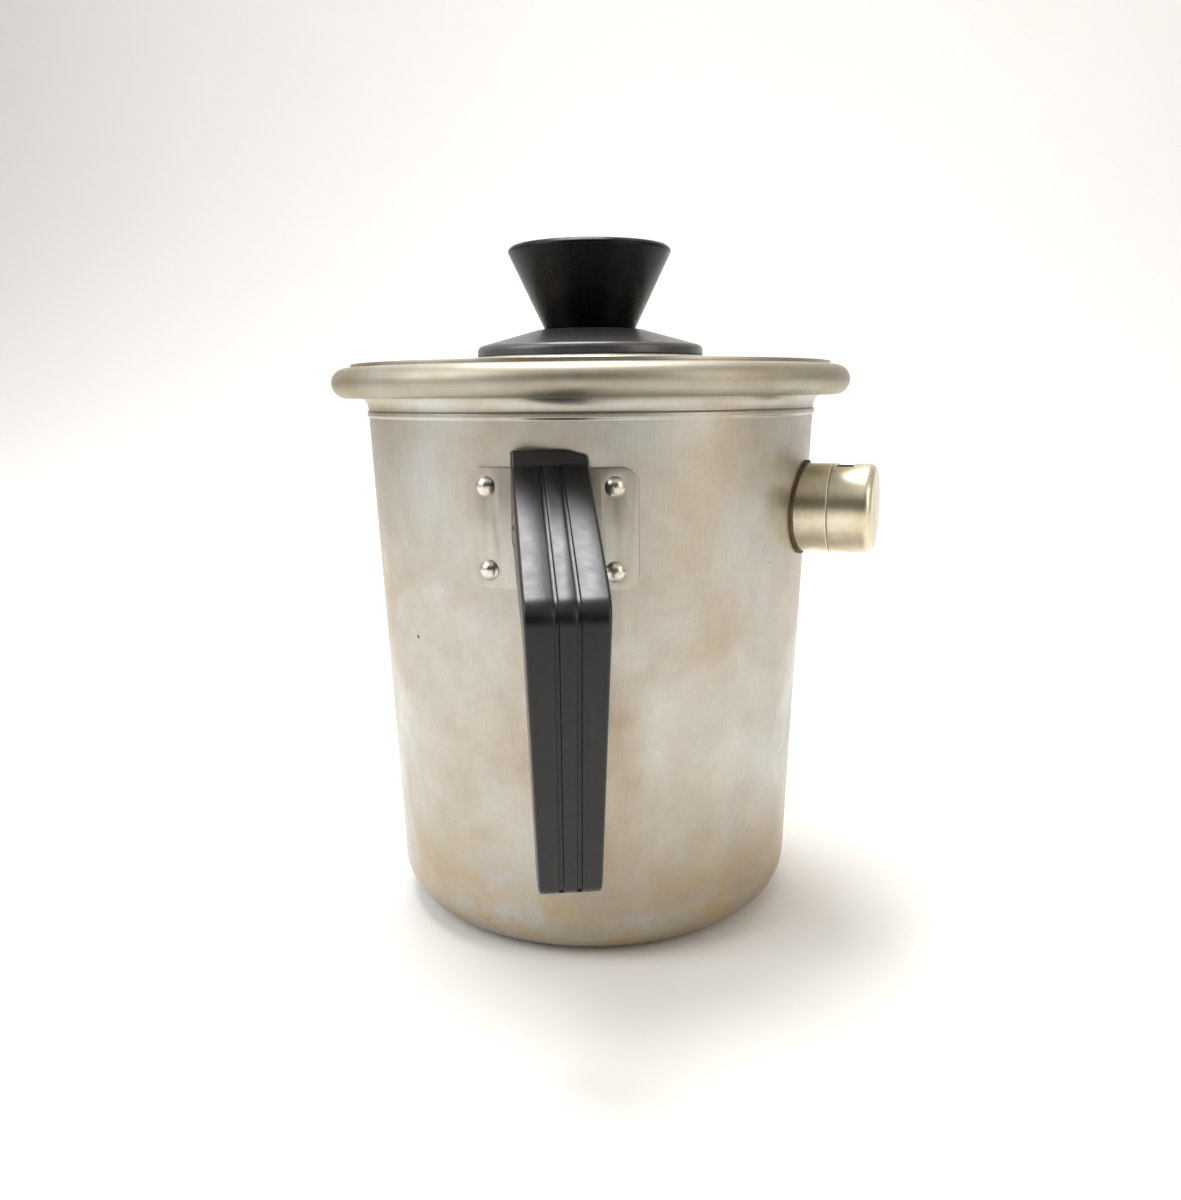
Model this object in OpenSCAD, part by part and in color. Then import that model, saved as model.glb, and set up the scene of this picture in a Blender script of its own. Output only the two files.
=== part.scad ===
// Milk boiler with two walls. Water fills the space between the outer shell and the inner
// vessel through a neck on the side, and a push-in whistle closes that neck.
// A moulded handle hangs on a riveted bracket, and the lid lifts off by its knob.
// The origin is the middle of the base, +Z is up, and the bracket faces -Y.

/* [Pot] */
// Outside diameter of the wall, just under the rim
body_d = 125; // [105:1:180]
// How much narrower the wall is at the base, across its diameter
body_taper = 11; // [0:0.5:16]
// Height of the rim's crest above the base
pot_h = 153.4; // [125:1:230]
// Outside radius of the bottom corner
corner_r = 13; // [6:0.5:20]
// Sheet thickness of the two vessels
sheet_t = 0.9; // [0.6:0.1:1.2]
// Clear width of the water space between the two walls
jacket_gap = 8; // [6:0.5:12]
// Clear height of the water space under the inner vessel
jacket_floor = 9; // [5:0.5:16]
// Radius of the inner vessel's bottom corner
vessel_corner_r = 10; // [4:0.5:16]
// Radius at the inner vessel's mouth
mouth_r = 3.5; // [2:0.5:5]

/* [Rim] */
// Height of the rolled rim
rim_h = 8; // [6:0.5:10]
// How far the rolled rim stands out beyond the wall
rim_reach = 9.5; // [9:0.5:14]
// Radius of the flare that carries the wall out under the rim
flare_r = 4.5; // [3:0.5:4.5]

/* [Lid] */
// Sheet thickness of the lid
lid_t = 0.9; // [0.6:0.1:1.5]
// How far the lid's edge stays inside the rim's outer edge
lid_inset = 5.3; // [4.5:0.1:8]
// Diameter of the raised middle of the lid
pad_d = 67; // [66:1:76]
// Height of the raised middle above the rest of the lid
pad_h = 1.8; // [1:0.1:3]
// Width of the pressed groove that centres the lid
groove_w = 6; // [5:0.5:8]
// Depth of that groove
groove_depth = 5; // [3:0.5:8]
// Room between the groove and the inner vessel's wall
lid_play = 2.3; // [0.5:0.1:3]

/* [Knob] */
// Diameter across the knob's top
knob_top_d = 45.4; // [36:0.1:58]
// Diameter at the knob's waist
knob_waist_d = 25.3; // [22:0.1:32]
// Height of the knob from its waist to its top
knob_h = 22.2; // [17:0.1:30]
// Diameter of the round skirt under the knob
skirt_d = 63.4; // [40:0.1:65]
// Height of the skirt's edge
skirt_edge_h = 2.8; // [2.5:0.1:5]
// Height of the skirt in the middle
skirt_h = 7.5; // [6:0.1:10]
// Diameter of the knob's screw
knob_screw_d = 5; // [4:0.5:6]
// Outside diameter of the threaded insert in the knob
insert_d = 9; // [8:0.5:10]
// Length of the threaded insert
insert_l = 10; // [8:0.5:12]

/* [Handle] */
// Turn of the handle away from square to the wall, towards the neck
handle_skew = 15.4; // [0:0.1:20]
// Width of the handle across its arm
handle_w = 18; // [16:0.1:24]
// Width of the grip at its lower end
grip_end_w = 13.3; // [10:0.1:16]
// Distance of the grip's front from the wall
handle_reach = 48.8; // [44:0.1:62]
// Height of the handle's top above the base
handle_top_z = 133.5; // [115:0.5:138]
// Length of the grip, from the handle's top down to its lower end
handle_drop = 90.1; // [70:0.1:104]
// Slope of the arm below level
arm_slope = 29.4; // [20:0.1:32]
// Thickness of the arm
arm_t = 14; // [13:0.5:18]
// Thickness of the grip
grip_t = 12.5; // [9:0.5:15]
// How far the grip leans in towards the wall at its lower end
grip_lean = 2.4; // [0:0.1:6]
// Radius of the bend between the arm and the grip
knee_r = 6.5; // [4:0.5:10]
// How far below the arm's top the grip begins to narrow
grip_taper_drop = 22; // [15:0.5:30]
// Width of the rib between the two grooves, along the arm
rib_w = 3.6; // [2:0.1:5]
// Width of the rib at the grip's lower end
rib_end_w = 2.8; // [2:0.1:5]
// Width of each groove
rib_groove_w = 1; // [0.6:0.1:1.6]
// Depth of each groove
rib_groove_depth = 0.6; // [0.3:0.1:1]

/* [Bracket] */
// Width of the bracket's plate, straight across
plate_w = 41.9; // [40:0.1:50]
// Height of the bracket's plate
plate_h = 28.9; // [26:0.1:32]
// Thickness of the bracket's plate
plate_t = 1; // [0.8:0.1:1.6]
// Distance from the handle's top down to the plate's top edge
plate_drop = 4.3; // [3:0.1:6]
// Thickness of the bracket's tongue
tongue_t = 2; // [1.5:0.1:3]
// Width between the rivets, straight across
rivet_w = 31; // [30:0.1:34]
// Height between the rivets
rivet_h = 20.2; // [16:0.1:21]
// Diameter of a rivet's head
rivet_head_d = 5; // [4.5:0.1:6]
// Diameter of a rivet's shank
rivet_d = 3; // [2.5:0.1:3.5]
// Diameter of the handle's cross screw
cross_screw_d = 4; // [3:0.5:4]

/* [Neck and whistle] */
// Direction of the neck, counted round from the bracket
neck_angle = 78.5; // [70:0.5:140]
// Height of the neck's axis above the base
neck_z = 115.6; // [60:0.1:122]
// Outside diameter of the neck and of the whistle
neck_d = 23.8; // [20:0.1:28]
// Wall of the neck
neck_t = 1.2; // [1:0.1:1.8]
// Length of the neck beyond the wall
neck_reach = 8; // [6:0.5:14]
// Length of the whistle beyond the neck
whistle_l = 11.2; // [10:0.1:18]
// Depth of the whistle's sleeve in the neck
sleeve_depth = 8; // [5:0.5:8]
// Rounding of the neck's mouth and of the whistle's edge against it
neck_edge_r = 0.35; // [0.2:0.05:0.5]
// Rounding of the whistle's outer end
whistle_edge_r = 2; // [1:0.1:3]
// Length of the window on top of the whistle
window_l = 4.4; // [3:0.1:6]
// Width of that window
window_w = 8; // [5:0.1:10]

/* [Fits] */
// Gap between two pieces that are clamped or riveted together
seat_gap = 0.05; // [0.02:0.01:0.1]
// Room round a screw in its hole
screw_gap = 0.1; // [0.05:0.05:0.3]
// Room round the bracket's tongue in the handle
tongue_gap = 0.15; // [0.1:0.05:0.3]
// Room between the handle's root and the bracket's plate
root_gap = 0.3; // [0.2:0.05:0.6]
// Room between the whistle's sleeve and the neck's bore
sleeve_gap = 0.1; // [0.05:0.05:0.2]

/* [Hidden] */
$fn = 96;
arc_steps = 8;

aluminium = [0.76, 0.74, 0.70];
bakelite = [0.05, 0.05, 0.05];
steel = [0.55, 0.56, 0.58];
brass = [0.75, 0.62, 0.35];
sealant = [0.16, 0.13, 0.10];

body_r = body_d / 2;
base_r = body_r - body_taper / 2;
rim_base_z = pot_h - rim_h;
wall_lean = atan((body_r - base_r) / rim_base_z);
bead_r = rim_h / 2;
bead_mid_r = body_r + rim_reach - bead_r;
flange_z = rim_base_z + sheet_t;
vessel_inset = sheet_t + jacket_gap;

lid_z = pot_h + seat_gap;
lid_r = body_r + rim_reach - lid_inset;
pad_top_z = lid_z + pad_h + lid_t;
skirt_z = pad_top_z + seat_gap;
knob_z = skirt_z + skirt_h + seat_gap;

attach_z = handle_top_z - plate_drop - plate_h / 2;
// Where the arm's sloped face starts: its distance from the wall, and how far below the top
face_u = 5;
face_drop = 3.5;
knee_top_z = handle_top_z - face_drop;
grip_end_z = handle_top_z - handle_drop;
grip_taper_z = knee_top_z - grip_taper_drop;
cross_u = 14;
cross_z = knee_top_z - (cross_u - face_u) * tan(arm_slope) - arm_t / 2 / cos(arm_slope);
tongue_r = arm_t / 2 - 2;
head_r = cross_screw_d * 0.9;
head_h = cross_screw_d * 0.6;
nut_r = cross_screw_d * 1.01;
nut_h = cross_screw_d * 0.8;
// Room round the cross screw's head and its nut, and how deep they sit in the handle
head_room = 0.3;
nut_room = 0.2;
head_sink = 0.2;
rivet_angle = asin(rivet_w / 2 / (wall_r(attach_z) + plate_t));

neck_r = neck_d / 2;
neck_end = wall_r(neck_z) + neck_reach;
sleeve_r = neck_r - neck_t - sleeve_gap;
sleeve_t = 0.8;
cap_t = 1.2;
window_z = neck_end + cap_t;
disc_t = 0.8;
seal_t = 0.7;
neck_flange_w = 3;
rivet_tail_h = 1.2;
washer_t = 0.8;
// Cutters for the wall start here, well inside it
cut_start = base_r / 2;

// Outside radius of the wall at height z, and the inner vessel's, a set distance inside it
function wall_r(z) = base_r + (body_r - base_r) * z / rim_base_z;
function vessel_r(z) = wall_r(z) - vessel_inset / cos(wall_lean);

function unit(v) = v / norm(v);
function side(a, b) = let (d = unit(b - a)) [-d[1], d[0]];

// An open path moved to its left by i
function moved(pts, i) = let (last = len(pts) - 1) [for (k = [0:last])
    let (m = k == 0 ? side(pts[0], pts[1]) : side(pts[k - 1], pts[k]),
         n = k == last ? m : side(pts[k], pts[k + 1]))
    pts[k] + (m + n) * i / (1 + m * n)];

// The arc that rounds the corner b between a and c
function corner(a, b, c, r) = r <= 0 ? [b] :
    let (u = unit(a - b), v = unit(c - b), half = acos(u * v) / 2,
         mid = b + unit(u + v) * r / sin(half), start = b + u * r / tan(half) - mid,
         sweep = (cross(b - a, c - b) > 0 ? 1 : -1) * (180 - 2 * half),
         first = atan2(start[1], start[0]))
    [for (k = [0:arc_steps]) mid + r * [cos(first + sweep * k / arc_steps),
                                        sin(first + sweep * k / arc_steps)]];

// A closed outline with its corners rounded
function rounded(pts, radii) = let (n = len(pts)) [for (k = [0:n - 1])
    each corner(pts[(k + n - 1) % n], pts[k], pts[(k + 1) % n], radii[k])];

// One face of a bent sheet: the path moved left by i, with the bends' radii to suit
function face(pts, radii, i) = let (p = moved(pts, i), last = len(pts) - 1)
    [for (k = [0:last]) each k == 0 || k == last || radii[k] == 0 ? [p[k]] :
        corner(p[k - 1], p[k], p[k + 1],
            radii[k] - i * (cross(p[k] - p[k - 1], p[k + 1] - p[k]) > 0 ? 1 : -1))];

function backwards(pts) = [for (k = [len(pts) - 1:-1:0]) pts[k]];

// A round sheet-metal shape: the path is its lower and outer face
module spun_sheet(pts, radii, t) {
    rotate_extrude() polygon(concat(face(pts, radii, 0), backwards(face(pts, radii, t))));
}

// Everything inside the wall's outer face moved out by extra
module within_wall(extra) {
    cylinder(h = pot_h, r1 = wall_r(0) + extra, r2 = wall_r(pot_h) + extra);
}

// The skin between two distances out from the wall's outer face
module wall_layer(from, to) {
    difference() {
        within_wall(to);
        translate([0, 0, -1]) cylinder(h = pot_h + 2, r1 = wall_r(-1) + from, r2 = wall_r(pot_h + 1) + from);
    }
}

module rounded_square(w, h, r) {
    square([w - 2 * r, h], center = true);
    square([w, h - 2 * r], center = true);
    for (x = [-1, 1], y = [-1, 1]) translate([x * (w / 2 - r), y * (h / 2 - r)]) circle(r);
}

// Local z runs out along the neck's axis, counted from the pot's axis, and local -x is up
module on_neck() {
    rotate([0, 0, neck_angle - 90]) translate([0, 0, neck_z]) rotate([0, 90, 0]) children();
}

// Local x runs out along the handle's arm from the wall, local z is up
module on_handle() {
    translate([0, -wall_r(attach_z), 0]) rotate([0, 0, handle_skew - 90]) children();
}

// Local z runs out through one rivet of the bracket
module on_rivet(across, up) {
    rotate([0, 0, across * rivet_angle - 90]) translate([0, 0, attach_z + up * rivet_h / 2])
        rotate([0, 90, 0]) children();
}

// Local z runs along the handle's cross screw, from the head's side to the nut's
module on_cross_screw() {
    translate([cross_u, 0, cross_z]) rotate([-90, 0, 0]) children();
}

module outer_shell() {
    color(aluminium) difference() {
        spun_sheet([[0, 0], [base_r, 0], [wall_r(flange_z), flange_z], [bead_mid_r, flange_z]],
            [0, corner_r, flare_r, 0], sheet_t);
        on_neck() translate([0, 0, cut_start]) cylinder(h = body_r, r = neck_r + seat_gap);
        for (across = [-1, 1], up = [-1, 1]) on_rivet(across, up)
            translate([0, 0, cut_start]) cylinder(h = body_r, r = rivet_d / 2 + seat_gap);
    }
}

module inner_vessel() {
    floor_z = sheet_t + jacket_floor;
    bead_out = bead_mid_r + bead_r - sheet_t;
    curl_end = wall_r(flange_z - flare_r) + flare_r + 0.4;
    color(aluminium) spun_sheet(
        [[0, floor_z], [vessel_r(floor_z), floor_z], [vessel_r(pot_h - sheet_t), pot_h - sheet_t],
         [bead_out, pot_h - sheet_t], [bead_out, flange_z], [curl_end, flange_z]],
        [0, vessel_corner_r, mouth_r, bead_r - sheet_t, bead_r - sheet_t, 0], sheet_t);
}

module filler_neck() {
    neck_start = wall_r(neck_z) - sheet_t - neck_flange_w;
    color(aluminium) difference() {
        union() {
            on_neck() rotate_extrude() polygon(rounded(
                [[0, neck_start], [neck_r, neck_start], [neck_r, neck_end], [0, neck_end]],
                [0, 0, neck_edge_r, 0]));
            intersection() {
                on_neck() translate([0, 0, cut_start]) cylinder(h = body_r, r = neck_r + neck_flange_w);
                wall_layer(-2 * sheet_t - seat_gap, -sheet_t - seat_gap);
            }
        }
        on_neck() translate([0, 0, cut_start]) cylinder(h = body_r, r = neck_r - neck_t);
    }
}

module neck_seal() {
    color(sealant) intersection() {
        on_neck() translate([0, 0, cut_start]) difference() {
            cylinder(h = body_r, r = neck_r + seal_t);
            translate([0, 0, -1]) cylinder(h = body_r + 2, r = neck_r + seat_gap);
        }
        wall_layer(seat_gap, seat_gap + seal_t);
    }
}

// The tongue's side view, grown by gap
module tongue_shape(gap) {
    translate([cross_u, cross_z]) circle(tongue_r + gap);
    translate([-4 - gap, cross_z - tongue_r - gap]) square([cross_u + 4 + gap, 2 * (tongue_r + gap)]);
}

module handle_bracket() {
    color(aluminium) union() {
        difference() {
            intersection() {
                translate([0, -cut_start, attach_z]) rotate([90, 0, 0])
                    linear_extrude(body_r) rounded_square(plate_w, plate_h, 4);
                wall_layer(seat_gap, seat_gap + plate_t);
            }
            for (across = [-1, 1], up = [-1, 1]) on_rivet(across, up)
                translate([0, 0, cut_start]) cylinder(h = body_r, r = rivet_d / 2 + seat_gap);
        }
        difference() {
            on_handle() difference() {
                rotate([90, 0, 0]) linear_extrude(tongue_t, center = true) tongue_shape(0);
                on_cross_screw() cylinder(h = 4 * tongue_t, r = cross_screw_d / 2 + screw_gap, center = true);
            }
            within_wall(seat_gap + plate_t / 2);
        }
    }
}

module bracket_rivet(across, up) {
    plate_out = plate_t + 2 * seat_gap;
    reach = wall_r(attach_z + up * rivet_h / 2);
    dome_r = rivet_head_d * 0.6;
    dome_h = rivet_head_d * 0.3;
    tail_start = reach - sheet_t - rivet_tail_h;
    color(aluminium) union() {
        difference() {
            on_rivet(across, up) intersection() {
                translate([0, 0, reach + plate_out + dome_h - dome_r]) sphere(dome_r);
                translate([0, 0, reach - 1]) cylinder(h = 6, r = rivet_head_d / 2);
            }
            within_wall(plate_out);
        }
        on_rivet(across, up) translate([0, 0, tail_start])
            cylinder(h = reach + plate_out + dome_h / 2 - tail_start, r = rivet_d / 2);
        intersection() {
            on_rivet(across, up) translate([0, 0, tail_start])
                cylinder(h = 2.5 * rivet_tail_h, r = rivet_head_d / 2 - 0.2);
            within_wall(-sheet_t - seat_gap);
        }
    }
}

// The handle's side view: x is the distance from the wall, y the height
function handle_side() =
    let (slope = tan(arm_slope),
         knee_z = knee_top_z - (handle_reach - face_u) * slope,
         under_z = knee_z + grip_t * slope - arm_t / cos(arm_slope),
         root_z = knee_top_z - face_u * slope - arm_t / cos(arm_slope))
    rounded([[-8, handle_top_z], [3, handle_top_z], [face_u, knee_top_z], [handle_reach, knee_z],
             [handle_reach - grip_lean, grip_end_z], [handle_reach - grip_lean - grip_t + 1.5, grip_end_z],
             [handle_reach - grip_t, under_z], [10, root_z], [-8, root_z]],
            [0, 1, 0, knee_r, 3, 3, 7, 5, 0]);

// One groove down the front of the arm and the grip; the pair draws together as the grip narrows
module handle_groove(across) {
    arm_y = across * (rib_w + rib_groove_w) / 2;
    end_y = across * (rib_end_w + rib_groove_w) / 2;
    half = rib_groove_w / 2;
    intersection() {
        rotate([90, 0, 0]) linear_extrude(handle_w, center = true) difference() {
            translate([face_u, grip_end_z - 1]) square([handle_reach, handle_drop - 2.5]);
            polygon([for (p = handle_side()) p - rib_groove_depth * [1, 1.2]]);
        }
        rotate([90, 0, 90]) linear_extrude(2 * handle_reach, center = true)
            polygon([[end_y - half, grip_end_z - 1], [end_y + half, grip_end_z - 1],
                     [arm_y + half, grip_taper_z], [arm_y + half, handle_top_z + 1],
                     [arm_y - half, handle_top_z + 1], [arm_y - half, grip_taper_z]]);
    }
}

module handle() {
    color(bakelite) difference() {
        on_handle() difference() {
            intersection() {
                rotate([90, 0, 0]) linear_extrude(handle_w, center = true) polygon(handle_side());
                rotate([90, 0, 90]) linear_extrude(2 * handle_reach, center = true)
                    polygon(rounded([[-handle_w / 2, handle_top_z + 1], [-handle_w / 2, grip_taper_z],
                        [-grip_end_w / 2, grip_end_z], [grip_end_w / 2, grip_end_z],
                        [handle_w / 2, grip_taper_z], [handle_w / 2, handle_top_z + 1]],
                        [0, 12, 3, 3, 12, 0]));
            }
            for (across = [-1, 1]) handle_groove(across);
            rotate([90, 0, 0]) linear_extrude(tongue_t + 2 * tongue_gap, center = true)
                tongue_shape(tongue_gap);
            on_cross_screw() {
                cylinder(h = 2 * handle_w, r = cross_screw_d / 2 + screw_gap, center = true);
                translate([0, 0, -handle_w])
                    cylinder(h = handle_w / 2 + head_h + head_sink, r = head_r + head_room);
                translate([0, 0, handle_w / 2 - nut_h - 2 * head_sink])
                    cylinder(h = handle_w, r = nut_r + nut_room, $fn = 6);
            }
        }
        within_wall(seat_gap + plate_t + root_gap);
    }
}

module handle_screw() {
    color(steel) on_handle() on_cross_screw() difference() {
        union() {
            translate([0, 0, -handle_w / 2]) cylinder(h = head_h, r = head_r);
            translate([0, 0, -handle_w / 2]) cylinder(h = handle_w - 0.6, r = cross_screw_d / 2);
        }
        translate([-head_r - 1, -0.5, -handle_w / 2 - 1]) cube([2 * head_r + 2, 1, 1 + head_h / 2]);
    }
}

module handle_nut() {
    color(steel) on_handle() on_cross_screw() translate([0, 0, handle_w / 2 - nut_h - head_sink])
        difference() {
            cylinder(h = nut_h, r = nut_r, $fn = 6);
            translate([0, 0, -1]) cylinder(h = nut_h + 2, r = cross_screw_d / 2 + seat_gap);
        }
}

module lid() {
    groove_out = vessel_r(pot_h) - sheet_t - lid_play;
    groove_in = groove_out - groove_w;
    draft = 0.8;
    color(aluminium) spun_sheet(
        [[knob_screw_d / 2 + screw_gap, lid_z + pad_h], [pad_d / 2, lid_z + pad_h], [pad_d / 2 + 2, lid_z],
         [groove_in, lid_z], [groove_in + draft, lid_z - groove_depth],
         [groove_out - draft, lid_z - groove_depth], [groove_out, lid_z], [lid_r, lid_z]],
        [0, 2.2, 0.8, 1.5, 0.6, 0.6, 1.5, 0], lid_t);
}

module knob_skirt() {
    hole_r = knob_screw_d / 2 + screw_gap;
    color(bakelite) rotate_extrude() polygon(rounded(
        [[hole_r, skirt_z], [skirt_d / 2, skirt_z], [skirt_d / 2, skirt_z + skirt_edge_h],
         [knob_waist_d / 2 + 2, skirt_z + skirt_h], [hole_r, skirt_z + skirt_h]],
        [0, 0.6, 1.6, 5, 0]));
}

module knob() {
    color(bakelite) difference() {
        rotate_extrude() polygon(rounded(
            [[0, knob_z], [knob_waist_d / 2, knob_z], [knob_top_d / 2, knob_z + knob_h - 1],
             [knob_top_d / 2 - 0.5, knob_z + knob_h], [0, knob_z + knob_h]],
            [0, 0.3, 1, 1, 0]));
        translate([0, 0, knob_z - 1]) cylinder(h = 1 + insert_l + 2, r = insert_d / 2 + seat_gap);
    }
}

module knob_insert() {
    color(brass) translate([0, 0, knob_z]) difference() {
        cylinder(h = insert_l, r = insert_d / 2);
        translate([0, 0, -1]) cylinder(h = insert_l + 2, r = knob_screw_d / 2 + seat_gap);
    }
}

module knob_washer() {
    color(steel) translate([0, 0, pad_top_z - lid_t - seat_gap - washer_t]) difference() {
        cylinder(h = washer_t, r = knob_screw_d * 1.1);
        translate([0, 0, -1]) cylinder(h = washer_t + 2, r = knob_screw_d / 2 + screw_gap);
    }
}

module knob_screw() {
    screw_head_h = knob_screw_d * 0.5;
    head_top = pad_top_z - lid_t - 2 * seat_gap - washer_t;
    shank_start = head_top - 0.5;
    color(steel) difference() {
        union() {
            translate([0, 0, head_top - screw_head_h]) cylinder(h = screw_head_h, r = knob_screw_d * 0.9);
            translate([0, 0, shank_start])
                cylinder(h = knob_z + insert_l - 1 - shank_start, r = knob_screw_d / 2);
        }
        translate([-knob_screw_d, -0.6, head_top - screw_head_h - 1])
            cube([2 * knob_screw_d, 1.2, 1 + screw_head_h / 2]);
    }
}

// The window's cut on top of the whistle, through the cap and the sleeve
module window_cut() {
    translate([-neck_r - 1, -window_w / 2, window_z]) cube([neck_r - 1 - sleeve_r * 0.6, window_w, window_l]);
}

module whistle_cap() {
    cap_start = neck_end + seat_gap;
    cap_end = neck_end + whistle_l;
    color(aluminium) on_neck() difference() {
        rotate_extrude() polygon(rounded(
            [[sleeve_r, cap_start], [neck_r, cap_start], [neck_r, cap_end], [0, cap_end],
             [0, cap_end - cap_t], [sleeve_r, cap_end - cap_t]],
            [0, neck_edge_r, whistle_edge_r, 0, 0, 0.8]));
        window_cut();
    }
}

module whistle_sleeve() {
    color(aluminium) on_neck() difference() {
        translate([0, 0, neck_end - sleeve_depth]) difference() {
            cylinder(h = sleeve_depth + window_z + window_l - neck_end + 1, r = sleeve_r);
            translate([0, 0, -1]) cylinder(h = 3 * sleeve_depth, r = sleeve_r - sleeve_t);
        }
        window_cut();
    }
}

module whistle_disc() {
    slot_depth = 1.2;
    color(brass) on_neck() translate([0, 0, window_z - disc_t]) difference() {
        cylinder(h = disc_t, r = sleeve_r - sleeve_t);
        translate([-sleeve_r, -window_w / 2, -1]) cube([sleeve_t + slot_depth + 1, window_w, disc_t + 2]);
    }
}

outer_shell();
inner_vessel();
filler_neck();
neck_seal();
handle_bracket();
bracket_rivet(-1, 1);  // rivet_upper_left
bracket_rivet(1, 1);  // rivet_upper_right
bracket_rivet(-1, -1);  // rivet_lower_left
bracket_rivet(1, -1);  // rivet_lower_right
handle();
handle_screw();
handle_nut();
lid();
knob_skirt();
knob();
knob_insert();
knob_screw();
knob_washer();
whistle_cap();
whistle_sleeve();
whistle_disc();
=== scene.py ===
# Double-walled milk boiler: studio scene and finished surfaces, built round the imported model
import math

import bpy
from mathutils import Matrix, Vector


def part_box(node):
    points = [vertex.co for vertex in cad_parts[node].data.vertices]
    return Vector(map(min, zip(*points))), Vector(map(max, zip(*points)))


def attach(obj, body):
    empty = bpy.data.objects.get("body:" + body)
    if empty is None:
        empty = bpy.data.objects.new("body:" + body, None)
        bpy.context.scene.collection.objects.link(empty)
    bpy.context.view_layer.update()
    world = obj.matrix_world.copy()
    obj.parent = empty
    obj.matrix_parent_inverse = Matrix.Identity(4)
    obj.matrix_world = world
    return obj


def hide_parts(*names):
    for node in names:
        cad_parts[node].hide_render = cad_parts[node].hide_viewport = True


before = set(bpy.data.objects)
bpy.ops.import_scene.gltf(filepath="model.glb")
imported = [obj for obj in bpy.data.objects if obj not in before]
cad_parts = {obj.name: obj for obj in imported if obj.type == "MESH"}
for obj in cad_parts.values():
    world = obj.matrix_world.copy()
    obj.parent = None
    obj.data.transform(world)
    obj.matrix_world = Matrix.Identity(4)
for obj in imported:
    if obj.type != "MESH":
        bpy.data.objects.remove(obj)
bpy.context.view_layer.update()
print("frame loaded:", len(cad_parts), "nodes")

mm = 0.001


# ---- small helpers ----

def srgb(hexText):
    # sRGB hex to the linear colour that a socket wants
    parts = [int(hexText[i:i + 2], 16) / 255 for i in (1, 3, 5)]
    linear = [c / 12.92 if c <= 0.04045 else ((c + 0.055) / 1.055) ** 2.4 for c in parts]
    return (*linear, 1.0)


def addNode(tree, kind, inputs=None, stops=None, **settings):
    # an input is a value, a hex colour or another node's output; stops are (position, colour) of a ramp
    node = tree.nodes.new(kind)
    for name, value in settings.items():
        setattr(node, name, value)
    for socket, value in (inputs or {}).items():
        if isinstance(value, bpy.types.NodeSocket):
            tree.links.new(value, node.inputs[socket])
        else:
            node.inputs[socket].default_value = srgb(value) if isinstance(value, str) else value
    if stops:
        elements = node.color_ramp.elements
        while len(elements) < len(stops):
            elements.new(0.5)
        for element, (position, colour) in zip(elements, stops):
            element.position = position
            element.color = srgb(colour) if isinstance(colour, str) else (colour, colour, colour, 1)
    return node


def newMaterial(name):
    material = bpy.data.materials.new(name)
    material.use_nodes = True
    tree = material.node_tree
    return material, tree, tree.nodes["Principled BSDF"], addNode(tree, "ShaderNodeTexCoord").outputs["Object"]


# ---- camera ----

view = {
    "lens": 32.4,                                   # mm on a 36 mm sensor
    "distance": 0.3152,                             # from the pot's axis
    "height": 0.1464,
    "sideways": -0.0006,
    "turn": 9.4,                                    # degrees round from the bracket
    "down": 11.88,
    "roll": -0.51,
    "shift": 20 / 1200,
}


def makeCamera(view):
    data = bpy.data.cameras.new("studioCamera")
    data.lens = view["lens"]
    data.shift_y = view["shift"]
    data.clip_start = 0.01
    camera = bpy.data.objects.new("studioCamera", data)
    bpy.context.collection.objects.link(camera)
    turn = Matrix.Rotation(math.radians(view["turn"]), 4, "Z")
    tilt = Matrix.Rotation(math.radians(90 - view["down"]), 4, "X")
    roll = Matrix.Rotation(math.radians(view["roll"]), 4, "Z")
    camera.matrix_world = (turn @ Matrix.Translation((view["sideways"], -view["distance"], view["height"]))
                           @ tilt @ roll)
    bpy.context.scene.camera = camera


makeCamera(view)
print("camera placed")


# ---- modelling helpers ----

def startAt(name, place):
    # a plane merged to one vertex, ready to be drawn out into an outline
    bpy.ops.object.select_all(action="DESELECT")
    bpy.ops.mesh.primitive_plane_add(size=mm)
    piece = bpy.context.object
    piece.name = piece.data.name = name
    bpy.ops.object.mode_set(mode="EDIT")
    bpy.ops.mesh.merge(type="CENTER")
    bpy.ops.transform.translate(value=place)
    return piece


def roundedOutline(points, step=7.0):
    # points are (x, z) or (x, z, radius); a radius turns that corner into an arc
    outline = []
    for i, point in enumerate(points):
        here = Vector(point[:2])
        if len(point) < 3 or i in (0, len(points) - 1):
            outline.append(here)
            continue
        toLast = (Vector(points[i - 1][:2]) - here).normalized()
        toNext = (Vector(points[i + 1][:2]) - here).normalized()
        half = toLast.angle(toNext) / 2
        middle = here + (toLast + toNext).normalized() * (point[2] / math.sin(half))
        first = here + toLast * (point[2] / math.tan(half)) - middle
        sweep = math.pi - 2 * half
        if toLast.x * toNext.y - toLast.y * toNext.x > 0:
            sweep = -sweep
        count = max(2, round(abs(math.degrees(sweep)) / step))
        for k in range(count + 1):
            outline.append(middle + Matrix.Rotation(sweep * k / count, 2) @ first)
    return outline


def drawOut(points):
    # extrudes the vertex in hand along the outline, points in millimetres
    for last, here in zip(points, points[1:]):
        step = (here - last) * mm
        bpy.ops.mesh.extrude_region_move(TRANSFORM_OT_translate={"value": (step.x, 0, step.y)})


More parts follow.
